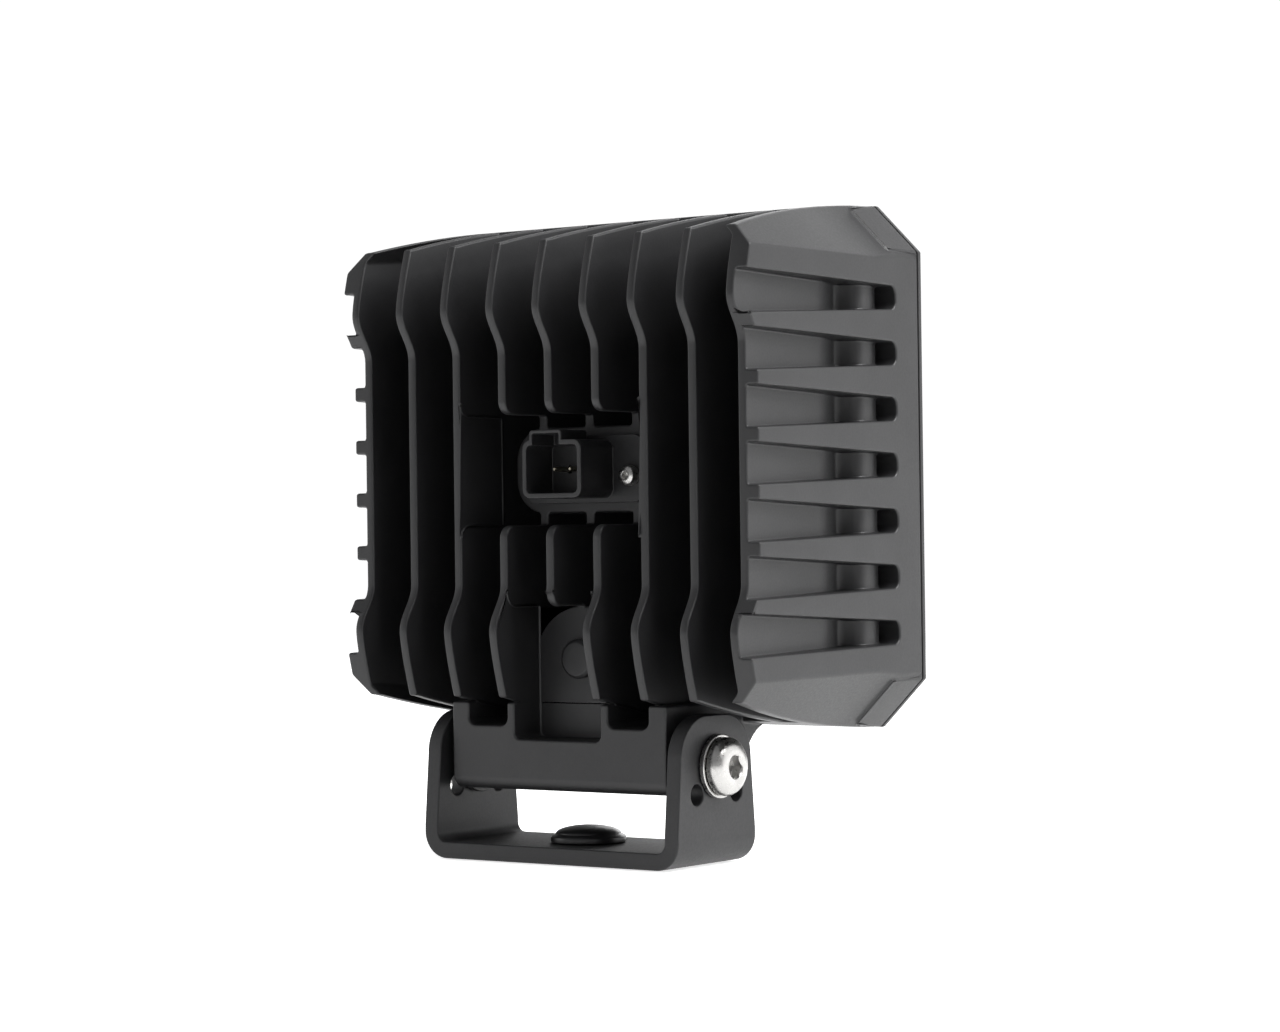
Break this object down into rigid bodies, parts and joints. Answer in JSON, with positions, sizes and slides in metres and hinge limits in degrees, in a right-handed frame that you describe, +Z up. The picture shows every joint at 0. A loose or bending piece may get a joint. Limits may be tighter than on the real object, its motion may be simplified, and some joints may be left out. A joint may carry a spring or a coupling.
{
  "type": "fog light",
  "caption": "Square LED fog and work light: finned die-cast housing with a built-in two-pin connector and a glass front, tilting in a U-bracket.",
  "frame": {"origin": "centre of the bracket's mounting hole on the underside of the base, straight below the tilt axis", "axes": "+Z up, the lens faces -Y, the tilt axis runs along X"},
  "size_m": [0.1596, 0.0909, 0.1972],
  "materials": {
    "cast_body": "satin black powder coat on die-cast aluminium",
    "bracket_steel": "satin black powder coat on steel",
    "lens_glass": "clear toughened glass",
    "seal_rubber": "matte silicone",
    "reflector": "aluminised plastic",
    "board": "white solder mask on aluminium",
    "driver_board": "green solder mask",
    "led_phosphor": "yellow phosphor",
    "thermal_pad": "soft grey",
    "ferrite": "matte black ferrite",
    "capacitor_can": "brushed",
    "contact_brass": "polished",
    "lead_red": "satin insulation",
    "lead_black": "satin insulation",
    "connector_plastic": "fine matte",
    "washer_nylon": "matte nylon",
    "cap_plastic": "glossy",
    "stainless": "bright, lightly polished"
  },
  "bodies": {
    "bracket": {"u_bracket": "bracket_steel", "mounting_hole_cap": "cap_plastic"},
    "lamp": {"board_screw_1": "stainless", "board_screw_2": "stainless", "board_screw_3": "stainless", "board_screw_4": "stainless", "breather_vent": "connector_plastic", "connector_screw_1": "stainless", "connector_screw_2": "stainless", "connector_seal": "seal_rubber", "connector_shell": "connector_plastic", "contact_pin_1": "contact_brass", "contact_pin_2": "contact_brass", "driver_board": "driver_board", "driver_capacitor_1": "capacitor_can", "driver_capacitor_2": "capacitor_can", "driver_inductor": "ferrite", "frame_screw_1": "stainless", "frame_screw_2": "stainless", "frame_screw_3": "stainless", "frame_screw_4": "stainless", "frame_screw_5": "stainless", "frame_screw_6": "stainless", "frame_screw_7": "stainless", "frame_screw_8": "stainless", "friction_washer_left": "washer_nylon", "friction_washer_right": "washer_nylon", "front_frame": "cast_body", "housing": "cast_body", "led_board": "board", "led_emitter_1": "led_phosphor", "led_emitter_2": "led_phosphor", "led_emitter_3": "led_phosphor", "led_emitter_4": "led_phosphor", "led_emitter_5": "led_phosphor", "led_emitter_6": "led_phosphor", "led_emitter_7": "led_phosphor", "led_emitter_8": "led_phosphor", "led_emitter_9": "led_phosphor", "lens": "lens_glass", "lens_gasket": "seal_rubber", "pivot_bolt_left": "stainless", "pivot_bolt_right": "stainless", "pivot_washer_left": "stainless", "pivot_washer_right": "stainless", "reflector_array": "reflector", "supply_lead_negative": "lead_black", "supply_lead_positive": "lead_red", "thermal_pad": "thermal_pad"}
  },
  "joints": [
    {"name": "lamp_tilt", "type": "hinge", "parent": "bracket", "child": "lamp", "pos_m": [0, 0, 0.0294], "axis": [1, 0, 0], "range_deg": [-90, 60]}
  ]
}
